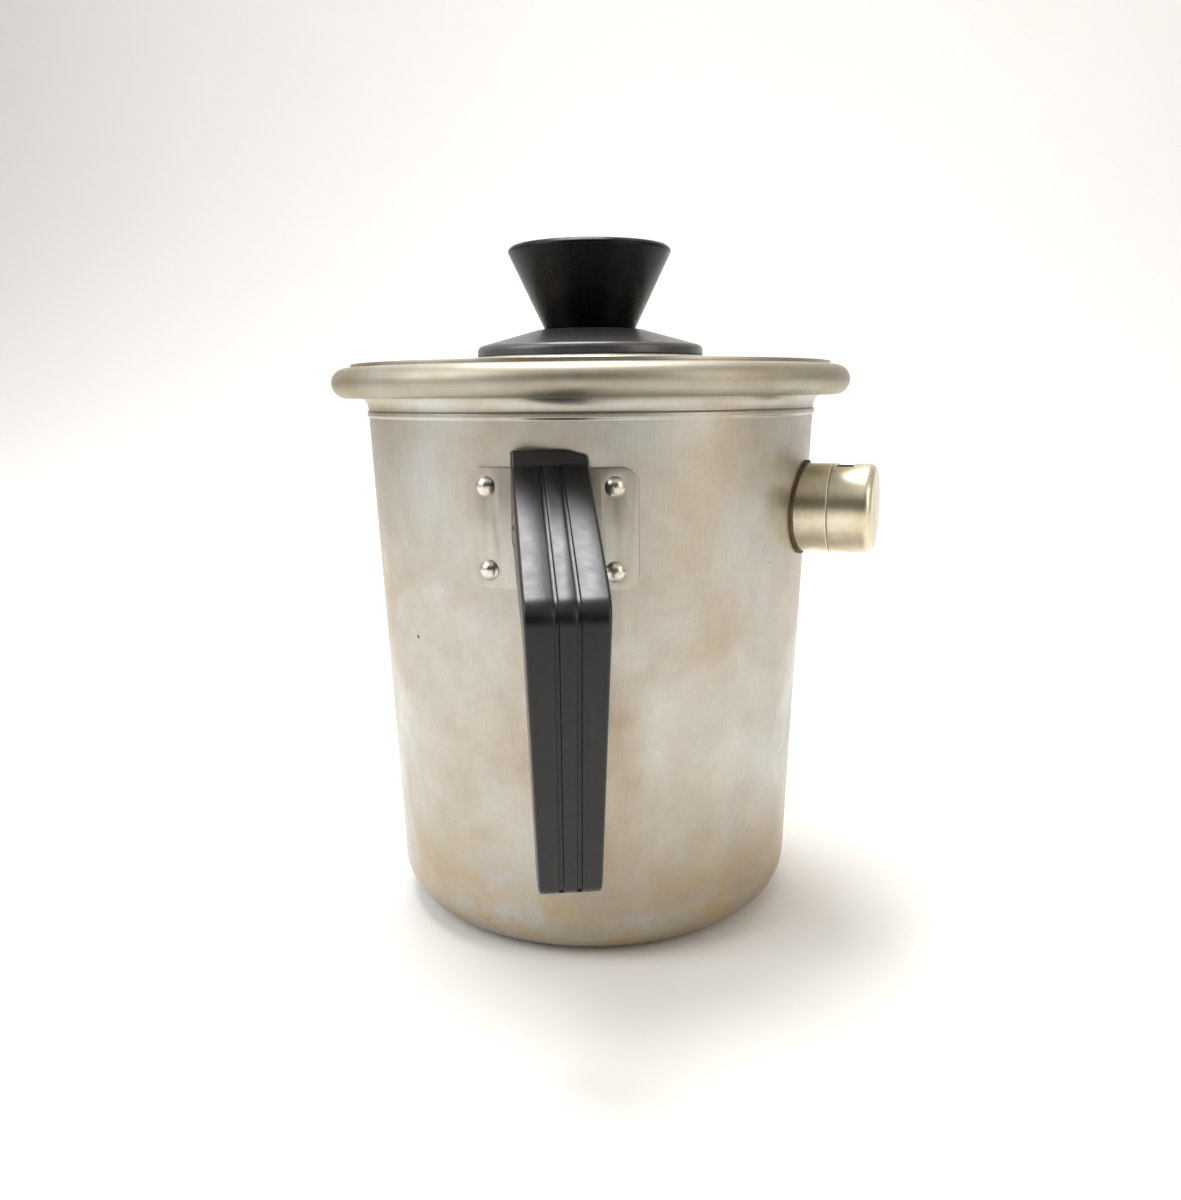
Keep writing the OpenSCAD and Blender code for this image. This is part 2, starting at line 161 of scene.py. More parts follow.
def lathe(name, points, steps=144, step=7.0):
    outline = roundedOutline(points, step)
    piece = startAt(name, (outline[0].x * mm, 0, outline[0].y * mm))
    drawOut(outline)
    bpy.ops.mesh.select_all(action="SELECT")
    bpy.ops.mesh.spin(steps=steps, angle=math.tau, center=(0, 0, 0), axis=(0, 0, 1))
    bpy.ops.mesh.select_all(action="SELECT")
    bpy.ops.mesh.remove_doubles(threshold=0.002 * mm)
    bpy.ops.mesh.normals_make_consistent(inside=False)
    bpy.ops.object.mode_set(mode="OBJECT")
    return piece


def turnedSheet(name, points, thickness, step):
    # the outline is the sheet's lower and outer face, and its thickness goes inward
    piece = lathe(name, points, steps=180, step=step)
    applyModifier(piece, "SOLIDIFY", thickness=thickness * mm, offset=1, use_even_offset=True)
    bpy.ops.object.mode_set(mode="EDIT")
    bpy.ops.mesh.select_all(action="SELECT")
    bpy.ops.mesh.normals_make_consistent(inside=False)
    bpy.ops.object.mode_set(mode="OBJECT")
    return piece


def applyModifier(piece, kind, **settings):
    bpy.context.view_layer.objects.active = piece
    modifier = piece.modifiers.new(kind.title(), kind)
    for name, value in settings.items():
        setattr(modifier, name, value)
    bpy.ops.object.modifier_apply(modifier=modifier.name)


def smooth(piece, angle=35):
    bpy.ops.object.select_all(action="DESELECT")
    piece.select_set(True)
    bpy.context.view_layer.objects.active = piece
    bpy.ops.object.shade_smooth_by_angle(angle=math.radians(angle))


def selectWhere(piece, kind, test):
    # picks vertices or faces by their place, with the piece in edit mode
    bpy.ops.mesh.select_all(action="DESELECT")
    bpy.ops.mesh.select_mode(type=kind)
    bpy.ops.object.mode_set(mode="OBJECT")
    items = piece.data.vertices if kind == "VERT" else piece.data.polygons
    for item in items:
        item.select = test(item)
    bpy.ops.object.mode_set(mode="EDIT")


def addCutter(operator, matrix, **sizes):
    bpy.ops.object.select_all(action="DESELECT")
    operator(**sizes)
    cutter = bpy.context.object
    cutter.matrix_world = matrix
    return cutter


def cutWith(piece, cutter):
    applyModifier(piece, "BOOLEAN", operation="DIFFERENCE", solver="EXACT", object=cutter)
    bpy.data.objects.remove(cutter)


def finish(piece, body, replaced, material):
    piece.data.materials.clear()
    piece.data.materials.append(material)
    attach(piece, body)
    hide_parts(*replaced)


# ---- materials ----

spunAluminium = {
    "cool": "#b7b6b0",
    "warm": "#a89a86",
    "stain": "#b39a66",
    "speck": "#3a2f1d",
    "worn": "#8f877a",         # along the streaks
    "dull": "#8d867c",         # what washing leaves
    "scratch": "#54462f",
    "roughness": (0.30, 0.46),
    "streakWidth": 0.35 * mm,
    "streakLength": 26 * mm,
    "blotch": 38 * mm,
    "mottle": 3.5 * mm,
    "haze": 15 * mm,
    "stainPatch": 9 * mm,
    "scratchLength": 11 * mm,
    "scratchFlatness": 22,     # how many times longer than high
    "speckSpacing": 13 * mm,
    "speckRadius": 0.5 * mm,
    "speckShare": 0.05,
    "bump": 0.05,
}


def makeSpunAluminium(look, name, rings=False, stainBelow=0.0):
    # Spun aluminium, satin from scouring: a pale warm grey with soft broad highlights
    material, tree, shader, at = newMaterial(name)
    if rings:
        # the streaks run round the pot's axis, so they follow the radius
        flat = addNode(tree, "ShaderNodeVectorMath", {0: at, 1: (1, 1, 0)}, operation="MULTIPLY")
        radius = addNode(tree, "ShaderNodeVectorMath", {0: flat.outputs[0]}, operation="LENGTH")
        across = addNode(tree, "ShaderNodeCombineXYZ", {"X": radius.outputs["Value"]})
    else:
        across = addNode(tree, "ShaderNodeMapping",
                         {"Vector": at, "Scale": (1, 1, look["streakWidth"] / look["streakLength"])})
    streaks = addNode(tree, "ShaderNodeTexNoise", {"Vector": across.outputs[0], "Scale": 1 / look["streakWidth"],
                                                   "Detail": 3, "Roughness": 0.6}).outputs["Fac"]
    blotches = addNode(tree, "ShaderNodeTexNoise", {"Vector": at, "Scale": 1 / look["blotch"], "Detail": 4,
                                                    "Roughness": 0.55, "Distortion": 0.4})
    warmth = addNode(tree, "ShaderNodeValToRGB", {"Fac": blotches.outputs["Fac"]}, [(0.35, 0.0), (0.68, 1.0)])
    tint = addNode(tree, "ShaderNodeMix", {0: warmth.outputs[0], 6: look["cool"], 7: look["warm"]}, data_type="RGBA")
    worn = addNode(tree, "ShaderNodeValToRGB", {"Fac": streaks}, [(0.3, 0.07), (0.6, 0.0)])
    colour = addNode(tree, "ShaderNodeMix", {0: worn.outputs[0], 6: tint.outputs[2], 7: look["worn"]},
                     data_type="RGBA", blend_type="MULTIPLY")
    # a dull grey mottling left by washing
    mottle = addNode(tree, "ShaderNodeTexNoise", {"Vector": at, "Scale": 1 / look["mottle"], "Detail": 6,
                                                  "Roughness": 0.75})
    dull = addNode(tree, "ShaderNodeValToRGB", {"Fac": mottle.outputs["Fac"]}, [(0.45, 0.0), (0.75, 0.22)])
    colour = addNode(tree, "ShaderNodeMix", {0: dull.outputs[0], 6: colour.outputs[2], 7: look["dull"]},
                     data_type="RGBA")
    if stainBelow:
        # yellow-brown staining, in patches that thin out up the wall
        height = addNode(tree, "ShaderNodeSeparateXYZ", {"Vector": at})
        low = addNode(tree, "ShaderNodeMapRange", {"Value": height.outputs["Z"], "From Min": stainBelow,
                                                   "From Max": stainBelow * 0.15, "To Max": 0.85})
        patches = addNode(tree, "ShaderNodeTexNoise", {"Vector": at, "Scale": 1 / look["stainPatch"], "Detail": 5,
                                                       "Roughness": 0.8, "Distortion": 0.25})
        edge = addNode(tree, "ShaderNodeValToRGB", {"Fac": patches.outputs["Fac"]}, [(0.44, 0.0), (0.64, 1.0)])
        share = addNode(tree, "ShaderNodeMath", {0: low.outputs[0], 1: edge.outputs[0]}, operation="MULTIPLY")
        colour = addNode(tree, "ShaderNodeMix", {0: share.outputs[0], 6: colour.outputs[2], 7: look["stain"]},
                         data_type="RGBA")
        # scratches from being turned and pushed about on the hob, level with the base
        level = addNode(tree, "ShaderNodeMapping", {"Vector": at, "Scale": (1, 1, look["scratchFlatness"])})
        lines = addNode(tree, "ShaderNodeTexNoise", {
            "Vector": level.outputs[0], "Scale": 1 / look["scratchLength"], "Detail": 6, "Roughness": 0.7})
        thin = addNode(tree, "ShaderNodeValToRGB", {"Fac": lines.outputs["Fac"]}, [(0.6, 0.0), (0.68, 1.0)])
        close = addNode(tree, "ShaderNodeMapRange", {"Value": height.outputs["Z"], "From Min": stainBelow * 0.5,
                                                     "From Max": 2 * mm, "To Max": 0.75})
        scratch = addNode(tree, "ShaderNodeMath", {0: thin.outputs[0], 1: close.outputs[0]}, operation="MULTIPLY")
        colour = addNode(tree, "ShaderNodeMix", {0: scratch.outputs[0], 6: colour.outputs[2], 7: look["scratch"]},
                         data_type="RGBA")
    # a few small dark spots
    cells = addNode(tree, "ShaderNodeTexVoronoi", {"Vector": at, "Scale": 1 / look["speckSpacing"]})
    near = addNode(tree, "ShaderNodeMath", {0: cells.outputs["Distance"],
                                            1: look["speckRadius"] / look["speckSpacing"]}, operation="LESS_THAN")
    pick = addNode(tree, "ShaderNodeSeparateColor", {"Color": cells.outputs["Color"]})
    chosen = addNode(tree, "ShaderNodeMath", {0: pick.outputs[0], 1: look["speckShare"]}, operation="LESS_THAN")
    spot = addNode(tree, "ShaderNodeMath", {0: near.outputs[0], 1: chosen.outputs[0]}, operation="MULTIPLY")
    colour = addNode(tree, "ShaderNodeMix", {0: spot.outputs[0], 6: colour.outputs[2], 7: look["speck"]},
                     data_type="RGBA")
    tree.links.new(colour.outputs[2], shader.inputs["Base Color"])
    haze = addNode(tree, "ShaderNodeTexNoise", {"Vector": at, "Scale": 1 / look["haze"], "Detail": 5,
                                                "Roughness": 0.6})
    rough = addNode(tree, "ShaderNodeMapRange", {
        "Value": haze.outputs["Fac"], "From Min": 0.3, "From Max": 0.7,
        "To Min": look["roughness"][0], "To Max": look["roughness"][1]})
    tree.links.new(rough.outputs[0], shader.inputs["Roughness"])
    shader.inputs["Metallic"].default_value = 1.0
    bump = addNode(tree, "ShaderNodeBump", {"Strength": look["bump"], "Distance": 0.2 * mm, "Height": streaks})
    tree.links.new(bump.outputs[0], shader.inputs["Normal"])
    return material


fittingMetal = {
    "worn": "#6b6152",
    "polish": 0.08,            # smoother than its roughness where it is bright
    "dulling": 0.14,           # rougher where it has worn
    "bump": 0.08,
}


def makePlainMetal(name, colour, roughness, grain):
    # Small fittings: one metal throughout, duller and browner where it has worn
    material, tree, shader, at = newMaterial(name)
    wear = addNode(tree, "ShaderNodeTexNoise", {"Vector": at, "Scale": 1 / grain, "Detail": 4, "Roughness": 0.6})
    share = addNode(tree, "ShaderNodeValToRGB", {"Fac": wear.outputs["Fac"]}, [(0.35, 0.0), (0.75, 0.5)])
    tint = addNode(tree, "ShaderNodeMix", {0: share.outputs[0], 6: colour, 7: fittingMetal["worn"]}, data_type="RGBA")
    tree.links.new(tint.outputs[2], shader.inputs["Base Color"])
    rough = addNode(tree, "ShaderNodeMapRange", {
        "Value": wear.outputs["Fac"], "To Min": roughness - fittingMetal["polish"],
        "To Max": roughness + fittingMetal["dulling"]})
    tree.links.new(rough.outputs[0], shader.inputs["Roughness"])
    shader.inputs["Metallic"].default_value = 1.0
    bump = addNode(tree, "ShaderNodeBump", {"Strength": fittingMetal["bump"], "Distance": 0.1 * mm,
                                           "Height": wear.outputs["Fac"]})
    tree.links.new(bump.outputs[0], shader.inputs["Normal"])
    return material


mouldedPhenolic = {
    "cloud": 7 * mm,
    "rubbed": 3 * mm,
    "ior": 1.6,
    "bump": 0.12,
}


def makeMoulded(name, colour, worn, roughness, grain, specular):
    # Moulded phenolic: almost black, dense and hard, with a gloss that handling dulls
    material, tree, shader, at = newMaterial(name)
    cloud = addNode(tree, "ShaderNodeTexNoise", {"Vector": at, "Scale": 1 / mouldedPhenolic["cloud"], "Detail": 5,
                                                 "Roughness": 0.65, "Distortion": 0.3})
    share = addNode(tree, "ShaderNodeValToRGB", {"Fac": cloud.outputs["Fac"]}, [(0.38, 0.0), (0.7, 1.0)])
    tint = addNode(tree, "ShaderNodeMix", {0: share.outputs[0], 6: colour, 7: worn}, data_type="RGBA")
    tree.links.new(tint.outputs[2], shader.inputs["Base Color"])
    rubbed = addNode(tree, "ShaderNodeTexNoise", {"Vector": at, "Scale": 1 / mouldedPhenolic["rubbed"], "Detail": 6,
                                                  "Roughness": 0.7})
    rough = addNode(tree, "ShaderNodeMapRange", {
        "Value": rubbed.outputs["Fac"], "From Min": 0.3, "From Max": 0.7,
        "To Min": roughness[0], "To Max": roughness[1]})
    tree.links.new(rough.outputs[0], shader.inputs["Roughness"])
    shader.inputs["IOR"].default_value = mouldedPhenolic["ior"]
    shader.inputs["Specular IOR Level"].default_value = specular
    pores = addNode(tree, "ShaderNodeTexNoise", {"Vector": at, "Scale": 1 / grain, "Detail": 3, "Roughness": 0.6})
    bump = addNode(tree, "ShaderNodeBump", {"Strength": mouldedPhenolic["bump"], "Distance": 0.1 * mm,
                                           "Height": pores.outputs["Fac"]})
    tree.links.new(bump.outputs[0], shader.inputs["Normal"])
    return material


shellMetal = makeSpunAluminium(spunAluminium, "scoured spun aluminium, wall", stainBelow=34 * mm)
rimMetal = makeSpunAluminium({**spunAluminium, "cool": "#a9a598", "warm": "#9a8d77", "roughness": (0.42, 0.56)},
                             "scoured spun aluminium, rim", rings=True)
lidMetal = makeSpunAluminium(spunAluminium, "scoured spun aluminium, lid", rings=True)
neckMetal = makeSpunAluminium({**spunAluminium, "cool": "#e2dbc8", "warm": "#d0c3a2", "roughness": (0.27, 0.4),
                               "blotch": 8 * mm}, "turned aluminium, yellowed by steam")
rivetMetal = makePlainMetal("hammered rivet aluminium", "#d6d1c6", 0.26, 2 * mm)
screwSteel = makePlainMetal("plain steel", "#9b9a98", 0.32, 1.5 * mm)
brassMetal = makePlainMetal("drawn brass", "#b8954f", 0.28, 2 * mm)
handlePhenolic = makeMoulded("phenolic moulding, handled gloss", "#060607", "#121111", (0.28, 0.4), 0.9 * mm, 0.35)
knobPhenolic = makeMoulded("phenolic moulding, moulded gloss", "#030303", "#080808", (0.22, 0.32), 1.4 * mm, 0.12)
# the skirt is the same near-black phenolic as the knob; its grey colours are painted sheen, the light its upward face
# catches
skirtPhenolicPaintedSheen = makeMoulded("phenolic moulding, skirt, greyed as painted sheen", "#343435", "#424242", (0.28, 0.4), 1.2 * mm, 0.6)
sealMaterial = makeMoulded("dried sealing compound", "#4a3d2b", "#75664c", (0.7, 0.9), 0.5 * mm, 0.2)
print("materials made")


# ---- outer shell ----

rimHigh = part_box("inner_vessel")[1]
rimRadius = rimHigh.x / mm
potHeight = rimHigh.z / mm

shell = {
    "rimHeight": 8.0,
    "rimReach": 9.5,          # from the wall out to the rim's outside
    "taper": 5.5,             # wall radius lost on the way down
    "sheet": 0.9,
    "corner": 13.0,
    "flare": 4.0,
    "ridge": 0.35,            # the pressed line under the flare
    "neckTurn": 78.5,         # degrees round from the bracket
    "neckHole": 11.95,
    "rivetHole": 1.55,
}
rimBase = potHeight - shell["rimHeight"]
wallTop = rimRadius - shell["rimReach"]
wallBase = wallTop - shell["taper"]


def wallRadius(z):
    return wallBase + shell["taper"] * z / rimBase


def makeShell(s):
    flange = rimBase + s["sheet"]
    ridgeZ = flange - s["flare"] - 0.5
    ridgeOut = wallRadius(ridgeZ) + s["ridge"]
    outline = [
        (0, 0), (wallBase, 0, s["corner"]),
        (wallRadius(ridgeZ - 1.5), ridgeZ - 1.5, 0.8), (ridgeOut, ridgeZ - 1.0, 0.4),
        (ridgeOut, ridgeZ - 0.1, 0.3), (wallRadius(ridgeZ), ridgeZ + 0.35, 0.3),
        (wallRadius(flange), flange, s["flare"]), (rimRadius - s["rimHeight"] / 2, flange)]
    piece = turnedSheet("outerShell", outline, s["sheet"], 5)
    # holes for the neck and the four rivets
    neckLow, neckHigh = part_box("neck_seal")
    neckAxis = Matrix.Translation((0, 0, (neckLow.z + neckHigh.z) / 2)) @ Matrix.Rotation(
        math.radians(s["neckTurn"] - 90), 4, "Z") @ Matrix.Rotation(math.pi / 2, 4, "Y")
    cutWith(piece, addCutter(bpy.ops.mesh.primitive_cylinder_add, neckAxis @ Matrix.Translation((0, 0, wallTop * mm)),
                             vertices=96, radius=s["neckHole"] * mm, depth=30 * mm))
    for rivet in ("rivet_upper_left", "rivet_upper_right", "rivet_lower_left", "rivet_lower_right"):
        low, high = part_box(rivet)
        middle = (low + high) / 2
        turn = math.atan2(middle.y, middle.x)
        cutWith(piece, addCutter(
            bpy.ops.mesh.primitive_cylinder_add, Matrix.Translation(middle) @ Matrix.Rotation(turn, 4, "Z")
            @ Matrix.Rotation(math.pi / 2, 4, "Y"), vertices=32, radius=s["rivetHole"] * mm, depth=12 * mm))
    return piece


outerShell = makeShell(shell)
smooth(outerShell)
finish(outerShell, "pot", ["outer_shell"], shellMetal)
print("outer shell made")


# ---- inner vessel, with the rolled rim ----

vessel = {
    "sheet": 0.9,
    "jacket": 8.0,
    "floorGap": 9.0,
    "corner": 10.0,
    "mouth": 3.5,
    "edgeGap": 0.9,            # from the flare to the rolled edge
}


def makeVessel(s):
    floor = shell["sheet"] + s["floorGap"]
    inset = shell["sheet"] + s["jacket"]
    bead = shell["rimHeight"] / 2 - s["sheet"]
    beadOut = rimRadius - s["sheet"]
    top = potHeight - s["sheet"]
    flange = rimBase + s["sheet"]
    outline = [
        (0, floor), (wallRadius(floor) - inset, floor, s["corner"]),
        (wallRadius(top) - inset, top, s["mouth"]), (beadOut, top, bead), (beadOut, flange, bead),
        (wallRadius(flange) + shell["flare"] + s["edgeGap"], flange)]
    return turnedSheet("innerVessel", outline, s["sheet"], 5)


innerVessel = makeVessel(vessel)
smooth(innerVessel)
finish(innerVessel, "pot", ["inner_vessel"], rimMetal)
print("inner vessel made")


# ---- lid ----

lidLow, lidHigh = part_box("lid")

lidCut = {
    "sheet": 0.9,
    "padRadius": 33.5,
    "padSlope": 2.0,
    "padHeight": 1.8,
    "grooveOut": 50.7,
    "grooveWidth": 6.0,
    "draft": 0.8,
    "hole": 2.6,
}


def makeLid(s):
    # the disc's underside lies a groove's depth above the box's lowest point
    radius = lidHigh.x / mm
    top = lidHigh.z / mm
    under = top - s["sheet"] - s["padHeight"]
    bottom = lidLow.z / mm
    outline = [
        (s["hole"], top - s["sheet"]), (s["padRadius"], top - s["sheet"], 2.2),
        (s["padRadius"] + s["padSlope"], under, 0.8),
        (s["grooveOut"] - s["grooveWidth"], under, 1.5), (s["grooveOut"] - s["grooveWidth"] + s["draft"], bottom, 0.6),
        (s["grooveOut"] - s["draft"], bottom, 0.6), (s["grooveOut"], under, 1.5), (radius, under)]
    piece = turnedSheet("lidDisc", outline, s["sheet"], 8)
    applyModifier(piece, "BEVEL", width=0.3 * mm, segments=3, limit_method="ANGLE", angle_limit=math.radians(50))
    return piece


lidDisc = makeLid(lidCut)
smooth(lidDisc)
finish(lidDisc, "lid", ["lid"], lidMetal)
print("lid made")


# ---- knob and its skirt ----

skirtLow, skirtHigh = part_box("knob_skirt")
knobLow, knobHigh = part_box("knob")

knobShape = {
    "waist": 12.65,
    "edge": 2.8,               # height of the skirt's edge
    "hole": 2.6,
    "dish": 1.2,               # how far the knob's top is hollowed
    "insert": 4.55,
    "insertDepth": 12.0,
}


def makeSkirt(s):
    out, low, high = skirtHigh.x / mm, skirtLow.z / mm, skirtHigh.z / mm
    return lathe("knobSkirt", [
        (s["hole"], low), (out, low, 0.6), (out, low + s["edge"], 1.7), (s["waist"] + 2, high, 5),
        (s["waist"] - 1, high), (s["hole"], high), (s["hole"], low)], steps=144, step=6)


def makeKnob(s):
    out, low, high = knobHigh.x / mm, knobLow.z / mm, knobHigh.z / mm
    return lathe("knobCone", [
        (0, low + s["insertDepth"]), (s["insert"], low + s["insertDepth"], 0.2), (s["insert"], low, 0.2),
        (s["waist"], low, 0.4), (out + 0.2, high - 1.1, 0.9), (out - 0.9, high, 1.0),
        (out - 3.5, high, 1.5), (out - 7, high - s["dish"], 6), (0, high - s["dish"])], steps=144, step=6)


knobSkirt = makeSkirt(knobShape)
smooth(knobSkirt)
finish(knobSkirt, "lid", ["knob_skirt"], skirtPhenolicPaintedSheen)
knobCone = makeKnob(knobShape)
smooth(knobCone)
finish(knobCone, "lid", ["knob"], knobPhenolic)
print("knob made")


# ---- handle ----

handleShape = {
    "skew": 15.4,              # degrees from square to the wall, towards the neck
    "width": 18.0,
    "endWidth": 13.3,
    "root": 8.0,               # how far it runs in past the wall before it is cut to the curve
    "topOut": 3.0,             # the flat top, out from the wall
    "faceOut": 5.0,            # where the arm's sloped face starts
    "faceDrop": 3.5,
    "underOut": 10.0,          # where the arm's underside starts
    "reach": 48.8,
    "drop": 90.1,
    "slope": 29.4,
    "armThick": 14.0,
    "gripThick": 12.5,
    "lean": 2.4,
    "knee": 6.5,
    "edge": 2.0,
    "taperDrop": 22.0,         # the grip narrows from here down
    "ribWidth": 3.6,
    "ribEndWidth": 2.8,
    "grooveWidth": 1.0,
    "grooveDepth": 0.7,
    "grooveEdge": 0.22,
    "plateCentre": 18.75,      # below the handle's top
    "plate": 1.0,
    "rootGap": 0.35,
    "screwOut": 14.0,
    "screwHead": 3.9,
    "screwHeadDepth": 2.6,
    "screwHole": 2.1,
    "nut": 4.24,
    "nutDepth": 3.6,
    "tongueHalf": 5.15,
    "tongueSlot": 2.3,
}


def makeHandle(s, top):
    slope = math.tan(math.radians(s["slope"]))
    thick = s["armThick"] / math.cos(math.radians(s["slope"]))
    faceTop = top - s["faceDrop"]
    end = top - s["drop"]
    knee = faceTop - (s["reach"] - s["faceOut"]) * slope
    rootUnder = faceTop - s["faceOut"] * slope - thick
    outline = roundedOutline([
        (-s["root"], rootUnder), (-s["root"], top), (s["topOut"], top, 0.8), (s["faceOut"], faceTop),
        (s["reach"], knee, s["knee"]),
        (s["reach"] - s["lean"], end, 3), (s["reach"] - s["lean"] - s["gripThick"] + 1.5, end, 3),
        (s["reach"] - s["gripThick"], knee + s["gripThick"] * slope - thick, 7),
        (s["underOut"], rootUnder, 5), (-s["root"], rootUnder)], step=6)
    outline.pop()
    half = s["width"] / 2
    piece = startAt("handleGrip", (outline[0].x * mm, -half * mm, outline[0].y * mm))
    drawOut(outline)
    bpy.ops.mesh.select_all(action="SELECT")
    bpy.ops.mesh.edge_face_add()
    bpy.ops.mesh.extrude_region_move(TRANSFORM_OT_translate={"value": (0, s["width"] * mm, 0)})
    bpy.ops.mesh.select_all(action="SELECT")
    bpy.ops.mesh.normals_make_consistent(inside=False)
    taperTop = faceTop - s["taperDrop"]
    bpy.ops.mesh.bisect(plane_co=(0, 0, taperTop * mm), plane_no=(0, 0, 1))

    # the grip narrows evenly towards its end
    bpy.ops.object.mode_set(mode="OBJECT")
    levels = sorted({round(v.co.z / mm, 3) for v in piece.data.vertices if v.co.z < (taperTop - 0.01) * mm})
    bpy.ops.object.mode_set(mode="EDIT")
    for level in levels:
        share = (taperTop - level) / (taperTop - end)
        selectWhere(piece, "VERT", lambda v: abs(v.co.z / mm - level) < 0.0006)
        bpy.ops.transform.resize(value=(1, 1 - share * (1 - s["endWidth"] / s["width"]), 1), center_override=(0, 0, 0))
    bpy.ops.object.mode_set(mode="OBJECT")
    applyModifier(piece, "BEVEL", width=s["edge"] * mm, segments=5, limit_method="ANGLE",
                  angle_limit=math.radians(28))

    # two grooves down the front, closer together towards the grip's end
    def grooveMiddle(z):
        share = min(1, max(0, (taperTop - z) / (taperTop - end)))
        return (s["ribWidth"] + (s["ribEndWidth"] - s["ribWidth"]) * share + s["grooveWidth"]) / 2

    half = s["grooveWidth"] / 2
    bpy.ops.object.mode_set(mode="EDIT")
    bpy.ops.mesh.select_all(action="SELECT")
    bpy.ops.mesh.bisect(plane_co=(0, 0, taperTop * mm), plane_no=(0, 0, 1))
    lean = (grooveMiddle(taperTop) - grooveMiddle(end)) / (taperTop - end)
    for side in (-1, 1):
        for edge in (-half, half):
            y = side * grooveMiddle(taperTop) + edge
            selectWhere(piece, "FACE", lambda f: f.center.z > taperTop * mm)
            bpy.ops.mesh.bisect(plane_co=(0, y * mm, 0), plane_no=(0, 1, 0))
            selectWhere(piece, "FACE", lambda f: f.center.z < taperTop * mm)
            bpy.ops.mesh.bisect(plane_co=(0, y * mm, taperTop * mm), plane_no=(0, 1, -side * lean))
    selectWhere(piece, "FACE", lambda f: abs(abs(f.center.y / mm) - grooveMiddle(f.center.z / mm)) < half
                and f.center.x > s["faceOut"] * mm and f.normal.x > 0.35)
    bpy.ops.mesh.extrude_region_shrink_fatten(TRANSFORM_OT_shrink_fatten={"value": -s["grooveDepth"] * mm})
    bpy.ops.object.mode_set(mode="OBJECT")
    applyModifier(piece, "BEVEL", width=s["grooveEdge"] * mm, segments=2, limit_method="ANGLE",
                  angle_limit=math.radians(60))

    # the slot for the bracket's tongue, and the cross screw's seats
    screwHeight = faceTop - (s["screwOut"] - s["faceOut"]) * slope - thick / 2
    across = Matrix.Translation((s["screwOut"] * mm, 0, screwHeight * mm)) @ Matrix.Rotation(math.pi / 2, 4, "X")
    quarter = Matrix.Rotation(math.pi / 2, 4, "Z")
    halfWidth = s["width"] / 2
    cylinder = bpy.ops.mesh.primitive_cylinder_add
    for sides, radius, length, out in (
            (48, s["screwHead"], s["screwHeadDepth"] + 2, halfWidth - s["screwHeadDepth"] / 2 + 1),
            (6, s["nut"], s["nutDepth"] + 2, -halfWidth + s["nutDepth"] / 2 - 1),
            (32, s["screwHole"], 3 * s["width"], 0)):
        cutWith(piece, addCutter(cylinder, across @ Matrix.Translation((0, 0, out * mm)) @ quarter,
                                 vertices=sides, radius=radius * mm, depth=length * mm))
    slotLength = s["screwOut"] + s["tongueHalf"] + s["root"]
    slot = Matrix.Translation(((slotLength / 2 - s["root"]) * mm, 0, screwHeight * mm)) @ Matrix.Diagonal(
        (slotLength, s["tongueSlot"], 2 * s["tongueHalf"], 1))
    cutWith(piece, addCutter(bpy.ops.mesh.primitive_cube_add, slot, size=mm))

    # into place on the wall, then the root is cut to the wall's curve
    plateZ = top - s["plateCentre"]
    piece.matrix_world = Matrix.Translation((0, -wallRadius(plateZ) * mm, 0)) @ Matrix.Rotation(
        math.radians(s["skew"] - 90), 4, "Z")
    bpy.ops.object.select_all(action="DESELECT")
    piece.select_set(True)
    bpy.context.view_layer.objects.active = piece
    bpy.ops.object.transform_apply()
    gap = s["plate"] + s["rootGap"]
    wall = addCutter(bpy.ops.mesh.primitive_cone_add, Matrix.Translation((0, 0, rimBase / 2 * mm)), vertices=256,
                     radius1=(wallBase + gap) * mm, radius2=(wallTop + gap) * mm, depth=rimBase * mm)
    cutWith(piece, wall)
    return piece


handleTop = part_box("handle")[1].z / mm
handleGrip = makeHandle(handleShape, handleTop)
smooth(handleGrip, 30)
finish(handleGrip, "pot", ["handle"], handlePhenolic)
print("handle made")


# ---- bracket plate and small pieces ----

def softened(node, name, edge, body, material):
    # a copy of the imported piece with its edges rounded
    bpy.ops.object.select_all(action="DESELECT")
    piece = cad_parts[node].copy()
    piece.data = piece.data.copy()
    piece.name = piece.data.name = name
    piece.parent = None
    bpy.context.collection.objects.link(piece)
    piece.select_set(True)
    bpy.context.view_layer.objects.active = piece
    bpy.ops.mesh.customdata_custom_splitnormals_clear()
    bpy.ops.object.mode_set(mode="EDIT")
    bpy.ops.mesh.select_all(action="SELECT")
    bpy.ops.mesh.remove_doubles(threshold=0.001 * mm)
    bpy.ops.mesh.dissolve_limited(angle_limit=math.radians(0.8))
    bpy.ops.object.mode_set(mode="OBJECT")
    applyModifier(piece, "BEVEL", width=edge * mm, segments=3, limit_method="ANGLE",
                  angle_limit=math.radians(40))
    smooth(piece, 40)
    finish(piece, body, [node], material)
    return piece


softened("handle_bracket", "bracketPlate", 0.3, "pot", shellMetal)
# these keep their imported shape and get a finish
finishes = {
    "rivet_upper_left": rivetMetal, "rivet_upper_right": rivetMetal,
    "rivet_lower_left": rivetMetal, "rivet_lower_right": rivetMetal,
    "filler_neck": neckMetal, "whistle_cap": neckMetal, "whistle_sleeve": neckMetal,
    "whistle_disc": brassMetal, "knob_insert": brassMetal,
    "neck_seal": sealMaterial,
    "handle_screw": screwSteel, "handle_nut": screwSteel, "knob_screw": screwSteel, "knob_washer": screwSteel,
}
for name, material in finishes.items():
    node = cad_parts[name]
    node.data.materials.clear()
    node.data.materials.append(material)
print("small pieces finished")


# ---- floor, lights and surroundings ----

studio = {
    "floor": "#f1f0ee",
    "floorSize": 3.0,
    "wallHeight": 2.0,
    "cove": 0.9,
    "key": 8.0,
    "fill": 3.5,
    "top": 11.0,
    "room": 0.95,
    "wash": 10.0,
    "unlit": "#2e251b",
}


